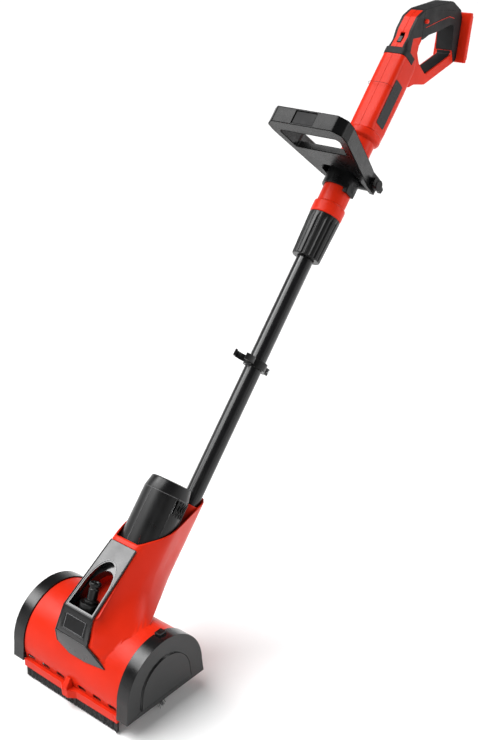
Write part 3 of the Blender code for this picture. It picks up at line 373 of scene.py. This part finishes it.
def closed_mesh(name, shape):
    """Turns a finished bmesh into a smooth-shaded mesh that faces outwards."""
    bmesh.ops.recalc_face_normals(shape, faces=shape.faces)
    mesh = bpy.data.meshes.new(name)
    shape.to_mesh(mesh)
    shape.free()
    mesh.shade_smooth()
    return mesh


def band(name, inner, outer, body, slot, look=None):
    """A closed wall between two rings of points, each ring given as (low, high) rows."""
    rows = [inner[0], inner[1], outer[1], outer[0]]
    count = len(rows[0])
    shape = bmesh.new()
    made = [[shape.verts.new(p) for p in row] for row in rows]
    for k in range(4):
        for i in range(count):
            j = (i + 1) % count
            shape.faces.new((made[k][i], made[k][j], made[(k + 1) % 4][j], made[(k + 1) % 4][i]))
    mesh = closed_mesh(name, shape)
    mesh.set_sharp_from_angle(angle=SHARP_ANGLE)
    return piece(name, mesh, body, slot, look)


def arc(cx, cy, rx, ry, start, end, steps):
    """Points along part of an ellipse, from one angle to another in degrees."""
    points = []
    for i in range(steps + 1):
        angle = math.radians(start + (end - start) * i / steps)
        points.append((cx + rx * math.cos(angle), cy + ry * math.sin(angle)))
    return points


SIDES = ((-1, "left"), (1, "right"))


# ---------------------------------------------------------------- front trim

# Lines across the trim's folded panels, each as (y, z) in mm.
SHELF, TOP, CHIN_FOLD = (-52.0, 155.0), (47.0, 223.0), (-70.0, 117.0)


def plane_point(low, high, x, along, out):
    """A point on a sloping panel that runs from low to high in (y, z)."""
    direction = (Vector(high) - Vector(low)).normalized()
    normal = Vector((-direction.y, direction.x))
    at = Vector(low) + direction * along + normal * out
    return model(x, at.x, at.y)


# Half the width at the sill, half the width at the arch's foot, and the arch's rise.
WINDOW, POCKET = (27.5, 26.0, 52.0), (25.7, 23.5, 40.0)
WINDOW_SILL, ARCH_FOOT = 3.5, 38.0
LABEL_PANEL_HEIGHT = 38 * MM
ARCH_R = 78.6


def window_ring(margin, out, shape=WINDOW):
    foot, half, rise = shape
    outline = [(-foot - margin, WINDOW_SILL - margin), (foot + margin, WINDOW_SILL - margin)]
    outline += arc(0, ARCH_FOOT, half + margin, rise + margin, 0, 180, 16)
    return [plane_point(SHELF, TOP, x, along, out) for x, along in outline]


def front_trim():
    """The folded trim with its window and label panel, a bead painted lighter grey as the window edge's
    highlight, and black border beads painted as the shade in the gaps beside the trim.
    """
    trim = refined("front_trim", 0.5)
    trim.data.materials.append(GLOSS_BLACK)
    fold = plane_point(CHIN_FOLD, SHELF, 0, 0, 0).z
    shelf = fold + LABEL_PANEL_HEIGHT
    for face in trim.data.polygons:
        on_label_panel = face.normal.y < -0.8 and fold - 0.001 < face.center.z < shelf + 0.001
        if on_label_panel:
            face.material_index = 1
    band("window_lip", (window_ring(-1.7, -10.7), window_ring(-1.7, -0.4)),
         (window_ring(-0.05, -10.7), window_ring(-0.05, -0.4)), "head", "black_shell", GLOSS_BLACK)
    band("pocket_liner", (window_ring(-1.4, -24, POCKET), window_ring(-1.4, -9.6, POCKET)),
         (window_ring(0.2, -24, POCKET), window_ring(-0.05, -9.9)), "head", "black_shell", GLOSS_BLACK)
    # The bead round the window is painted lighter grey as the highlight along its edge.
    bead("window_highlight_bead", window_ring(0.7, 0.0), 0.55, "head", "satin_trim", WINDOW_EDGE_HIGHLIGHT, True)
    # Black beads down the trim's two side edges paint the shade in the gap between the trim and the red housing.
    for side, side_name in SIDES:
        chin = (side * 34.0 + (34.5 if side > 0 else -1.5), 93.5 if side > 0 else 95.5)
        reach = -math.sqrt(ARCH_R ** 2 - (chin[1] - ARCH_Z) ** 2)
        path = [model(side * 26.4, 47, 223), model(side * 30.8, -52, 155), model(side * 33.8, -70, 117)]
        path.append(model(chin[0], reach, chin[1]))
        bead("trim_gap_shade_" + side_name, path, 1.1, "head", "black_shell", GLOSS_BLACK)
    fold_line = [plane_point(CHIN_FOLD, SHELF, x, 0.2, 0.1) for x in (-33, 33)]
    bead("trim_fold", fold_line, 0.8, "head", "black_shell", GLOSS_BLACK)
    frame_line = [(-20.5, 10.2), (20.5, 10.2), (20.5, 31.8), (-20.5, 31.8)]
    bead("name_plate_line", [plane_point(CHIN_FOLD, SHELF, x, a, -0.15) for x, a in frame_line],
         0.28, "head", "label", PRINT_GREY, True)


# ---------------------------------------------------------------- motor cap and body details

MOTOR_R, MOTOR_N, MOTOR_TOP = 37.6, 66.0, 31.0
CAP_CHAMFER = 20
GRIP_EDGE = 851.5  # where the black rubber begins, along the pole


def motor_point(angle, radius, s):
    """A point round the motor line; the angle runs from the front towards the right."""
    turn = math.radians(angle)
    return pole(radius * math.sin(turn), s, MOTOR_N + radius * math.cos(turn))


def motor_details():
    """Seams, ribs and vent bars on the motor cap; the seam beads are real, and their light grey is a painted
    highlight.
    """
    shoulder = MOTOR_TOP - CAP_CHAMFER
    ring = [motor_point(a * 7.5, MOTOR_R + 0.05, shoulder - 1.0) for a in range(48)]
    # The seam beads are painted light grey: the highlight their edges catch.
    bead("cap_seam", ring, 0.45, "head", "black_shell", SEAM_HIGHLIGHT_GREY, True)
    for name, angle in (("cap_parting_front", -4), ("cap_rib_rear", 150)):
        line = [motor_point(angle, MOTOR_R + 0.05, s) for s in (-80, -40, shoulder - 1)]
        bead(name, line, 0.45, "head", "black_shell", SEAM_HIGHLIGHT_GREY)
    for name, angle in (("cap_rib_front", 66), ("cap_rib_back", 118)):
        line = [motor_point(angle, MOTOR_R + 0.2, s) for s in (-80, -40, shoulder - 3)]
        line.append(motor_point(angle + (6 if angle < 90 else -6), MOTOR_R + 0.1, shoulder))
        bead(name, line, 0.9, "head", "black_shell", COVER_BLACK)
    for i in range(5):
        middle = 78.0 + i * 9.5
        zigzag = [(-3.0, -17.0), (2.6, -9.5), (-2.6, -2.5), (3.0, 5.0)]
        line = [motor_point(middle + da, MOTOR_R + 0.3, s) for da, s in zigzag]
        bead(f"cap_louvre_{i}", line, 0.85, "head", "black_shell", COVER_BLACK)


def body_seam():
    """The moulded line across the body, a bead in darker red that paints the shade of its groove."""
    points = [(-23.6, 6.0)] + arc(-10.5, -17.0, 13.1, 13.1, 180, 270, 6)
    points += arc(10.5, -17.0, 13.1, 13.1, 270, 360, 6) + [(23.6, 6.0)]
    bead("body_groove_shade", [pole(x, 786, -y) for x, y in points], 0.35, "handle", "red_shell", GROOVE_SHADE_RED)


def two_tone_shell(node, width):
    """A body half whose shoulder beside the front tongue is in the grip's black rubber."""
    made = refined(node, width)
    made.data.materials.append(LOOKS["rubber"])
    side = 1 if node.endswith("right") else -1
    along = (Vector((0, 762.0, 889.5)) - Vector((0, 751.0, 870.0))).normalized()
    front = Vector((0, -along.z, along.y))
    cuts = (
        (model(side * 11.5, 0, 0), Vector((side, 0, 0))),
        (pole(0, GRIP_EDGE, 0), POLE_UP),
        (model(0, 751.0, 870.0), front),
        (model(0, 0, 889.2), Vector((0, 0, 1))),
    )
    shape = bmesh.new()
    shape.from_mesh(made.data)
    for at, normal in cuts:
        everything = shape.verts[:] + shape.edges[:] + shape.faces[:]
        bmesh.ops.bisect_plane(shape, geom=everything, dist=CUT_SNAP, plane_co=at, plane_no=normal)
    for face in shape.faces:
        middle = face.calc_center_median()
        beyond = [(middle - at).dot(normal) > 0 for at, normal in cuts]
        if beyond[0] and beyond[1] and (beyond[2] or beyond[3]):
            face.material_index = 1
    shape.to_mesh(made.data)
    shape.free()


def grip_details():
    """The liner inside the loop and the thin red lines on the grip."""
    lower = [(891.4, 853.0), (891.2, 847.5), (889.0, 845.2), (810.0, 824.2), (804.0, 825.2),
             (785.8, 843.6), (784.0, 847.5), (775.2, 866.0)]
    rings = []
    for off in (-0.2, 1.3):
        moved = []
        for i, point in enumerate(lower):
            before, after = lower[max(i - 1, 0)], lower[min(i + 1, len(lower) - 1)]
            run = (Vector(after) - Vector(before)).normalized()
            moved.append(Vector(point) + Vector((run.y, -run.x)) * off)
        rings.append(moved)
    outline = rings[0] + rings[1][::-1]
    half = 13.2
    rows = [[model(x, p.x, p.y) for p in outline] for x in (-half, half)]
    shape = bmesh.new()
    ends = [[shape.verts.new(p) for p in row] for row in rows]
    count = len(outline)
    for i in range(count):
        j = (i + 1) % count
        shape.faces.new((ends[0][i], ends[0][j], ends[1][j], ends[1][i]))
    steps = len(lower)
    for end in ends:
        for i in range(steps - 1):
            shape.faces.new((end[i], end[i + 1], end[count - 2 - i], end[count - 1 - i]))
    mesh = closed_mesh("loop_liner", shape)
    mesh.set_sharp_from_angle(angle=SHARP_ANGLE)
    rounded_edges(piece("loop_liner", mesh, "handle", "rubber"), 0.5)
    for side, side_name in SIDES:
        line = [model(side * 16.7, y, z) for y, z in ((800, 903.5), (846, 910.5), (876, 914), (893, 909))]
        bead("grip_line_" + side_name, line, 0.45, "handle", "red_shell")


# ---------------------------------------------------------------- brush drum and strip

CORE_R, TIP_R = 21.5, 57.0
STRANDS_IN_TUFT = 16


def drum_bristles():
    """Tufts set in the core in staggered rings; the end tufts splay outwards."""
    rng = random.Random(11)
    paths = []
    columns, around = 28, 18
    for column in range(columns):
        across = -95.0 + 190.0 * column / (columns - 1)
        splay = 1.0 if abs(across) > 80 else 0.0
        for row in range(around):
            angle = 2 * math.pi * (row + 0.5 * (column % 2)) / around + column * 0.05
            widest = 27 if abs(across) > 90 and row % 3 else 15
            outward = math.copysign(rng.uniform(3, widest), across) * splay
            for _ in range(STRANDS_IN_TUFT):
                spread = rng.gauss(0, 0.065)
                lean = rng.gauss(0, 2.0) + outward * rng.uniform(0.5, 1.0)
                lean = max(-121.0 - across, min(121.0 - across, lean))
                reach = TIP_R - abs(rng.gauss(0, 1.8))
                path = []
                for t in (0.0, 0.5, 1.0):
                    radius = CORE_R + (reach - CORE_R) * t
                    turn = angle + spread * t + 0.10 * t * t
                    path.append(model(across + lean * t * t, radius * math.sin(turn),
                                      DRUM_Z + radius * math.cos(turn)))
                paths.append(path)
    made = strands("drum_bristles", "drum", paths, 0.55)
    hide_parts("brush_bristles")


def strip_bristles():
    """The comb in front of the arch: short dense tufts, and a loose flap at its right end."""
    rng = random.Random(5)
    paths = []
    tufts = 23
    for tuft in range(tufts):
        middle = -98.0 + 196.0 * tuft / (tufts - 1)
        for _ in range(120):
            x = middle + rng.uniform(-3.4, 3.4)
            y = rng.uniform(-78.8, -75.4)
            foot = 1.0 + abs(rng.gauss(0, 0.8))
            path = [model(x, y, 20.3), model(x + rng.gauss(0, 0.3), y - 0.4, 11.0),
                    model(x + rng.gauss(0, 0.6), y - rng.uniform(0, 1.2), foot)]
            paths.append(path)
    for _ in range(160):
        x = 97.0 + rng.uniform(0, 5.0)
        foot = 0.6 + (102.5 - x) * 1.0 + rng.uniform(0, 0.8)
        paths.append([model(x, -78.6, 18.0), model(x + 0.8, -80.0, 10.0), model(x + 1.2, -81.5, foot)])
    made = strands("strip_bristles", "head", paths, 0.42)
    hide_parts("bristle_strip")
    # Black plates close the slots above the holder, as painted shade.
    for i, middle in enumerate((-90, -57, -24, 24, 57, 90)):
        shade_plate_in_slot(f"slot_shade_{i}", middle)


def shade_plate_in_slot(name, middle):
    """A black plate inside each slot above the holder: painted shade, so the slot reads dark instead of opening
    onto the floor behind.
    """
    shape = bmesh.new()
    outline = [(-7.8, 36.8), (7.8, 36.8), (7.8, 43.0), (-7.8, 43.0)]
    rows = [[shape.verts.new(model(middle + x, y, z)) for x, z in outline] for y in (-74.2, -72.6)]
    for i in range(4):
        j = (i + 1) % 4
        shape.faces.new((rows[0][i], rows[0][j], rows[1][j], rows[1][i]))
    shape.faces.new(rows[0])
    shape.faces.new(rows[1])
    rounded_edges(piece(name, closed_mesh(name, shape), "head", "black_shell"), 0.4)


# ---------------------------------------------------------------- studio

def area_light(name, place, target, size, power):
    data = bpy.data.lights.new(name, "AREA")
    data.shape = "RECTANGLE"
    data.size, data.size_y = size
    data.energy = power
    made = bpy.data.objects.new(name, data)
    made.location = place
    made.rotation_mode = "QUATERNION"
    made.rotation_quaternion = (Vector(target) - Vector(place)).to_track_quat("-Z", "Y")
    show(made)


def studio():
    """A white floor, a background that is brightest at the horizon, and four lights."""
    mesh = bpy.data.meshes.new("floor")
    half = 12.0
    mesh.from_pydata([(-half, -half, 0), (half, -half, 0), (half, half, 0), (-half, half, 0)], [], [(0, 1, 2, 3)])
    mesh.materials.append(floor_material())
    floor = bpy.data.objects.new("floor", mesh)
    floor.location.z = -0.8 * MM
    show(floor)
    world = bpy.data.worlds.new("studio")
    world.use_nodes = True
    world.node_tree.nodes["Background"].inputs["Color"].default_value = (1.0, 1.0, 1.0, 1.0)
    nodes, links = world.node_tree.nodes, world.node_tree.links
    split = nodes.new("ShaderNodeSeparateXYZ")
    links.new(nodes.new("ShaderNodeTexCoord").outputs["Generated"], split.inputs["Vector"])
    fade = nodes.new("ShaderNodeMapRange")
    set_range(fade, 0.18, 0.42, 0.85, 0.10)
    links.new(split.outputs["Z"], fade.inputs["Value"])
    links.new(fade.outputs["Result"], nodes["Background"].inputs["Strength"])
    bpy.context.scene.world = world
    middle = (0, 0, 0.4)
    area_light("key", (-1.7, -1.2, 2.0), middle, (0.8, 1.6), 24)
    area_light("front", (1.6, -2.2, 0.9), (0, -0.3, 0.3), (0.5, 1.6), 5)
    area_light("rim", (1.9, 1.4, 1.5), middle, (0.4, 1.8), 22)
    data = bpy.data.lights.new("sky", "SUN")
    data.energy = 3.7
    data.angle = math.radians(50)
    sky = bpy.data.objects.new("sky", data)
    sky.rotation_euler = (math.radians(20), math.radians(-20), 0)
    show(sky)
    scene = bpy.context.scene
    scene.view_settings.view_transform = "Standard"
    scene.view_settings.look = "None"


def camera():
    """The camera of the main view."""
    azimuth, elevation, roll = math.radians(40.54), math.radians(24.64), math.radians(-0.3)
    back = Vector((math.sin(azimuth) * math.cos(elevation), -math.cos(azimuth) * math.cos(elevation),
                   math.sin(elevation)))
    right = Vector((math.cos(azimuth), math.sin(azimuth), 0))
    up = back.cross(right)
    right_rolled = right * math.cos(roll) + up * math.sin(roll)
    up_rolled = up * math.cos(roll) - right * math.sin(roll)
    data = bpy.data.cameras.new("camera")
    data.sensor_width = 36.0
    data.lens = 55.81
    data.clip_start = 0.05
    made = bpy.data.objects.new("camera", data)
    turn = Matrix((right_rolled, up_rolled, back)).transposed().to_4x4()
    made.matrix_world = Matrix.Translation(model(1095.0, -960.8, 1192.6)) @ turn
    show(made)
    bpy.context.scene.camera = made


# ---------------------------------------------------------------- build

# How far each node's edges are rounded, in mm.
ROUNDED = {
    "head_housing": 1.0, "name_plate": 0.2, "hose_connector_base": 0.8,
    "hose_connector_stub": 0.4, "left_cover": 1.0, "right_cover": 1.0, "cover_latch": 0.3,
    "strip_holder": 0.8, "motor_housing": 0.6, "pole_tube": 0.4, "hose_clip": 0.6, "clip_screw": 0.3,
    "twist_collar": 0.5, "neck_sleeve": 0.7, "front_bracket": 0.8, "front_handle": 0.8, "grip_inset": 0.4,
    "pivot_bolt": 0.4, "clamp_knob": 0.7,
    "soft_grip": 0.6, "trigger": 0.4, "lock_button": 0.0, "speed_switch": 0.2, "grip_band": 0.4,
    "side_label": 0.2, "battery_foot": 0.6, "battery_terminals": 0.4,
}

SPECIAL_LOOKS = {
    "left_cover": COVER_BLACK, "right_cover": COVER_BLACK,
    "front_handle": FRAME_BLACK, "front_bracket": FRAME_BLACK, "clamp_knob": FRAME_BLACK,
}


def build():
    """Dresses the CAD nodes and adds the pieces that the CAD leaves out."""
    for node, made in frame["nodes"].items():
        made.data.materials.clear()
        made.data.materials.append(LOOKS[SLOT_OF[node]])
    for node, width in ROUNDED.items():
        refined(node, width, look=SPECIAL_LOOKS.get(node))
    for node in ("handle_shell_left", "handle_shell_right"):
        two_tone_shell(node, 0.5)
    motor_details()
    body_seam()
    grip_details()
    front_trim()
    drum_bristles()
    strip_bristles()
    latch_spring = refined("latch_spring", 0.0)
    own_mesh(latch_spring)
    trigger_spring = refined("trigger_spring", 0.0)
    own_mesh(trigger_spring)


build()
studio()
camera()
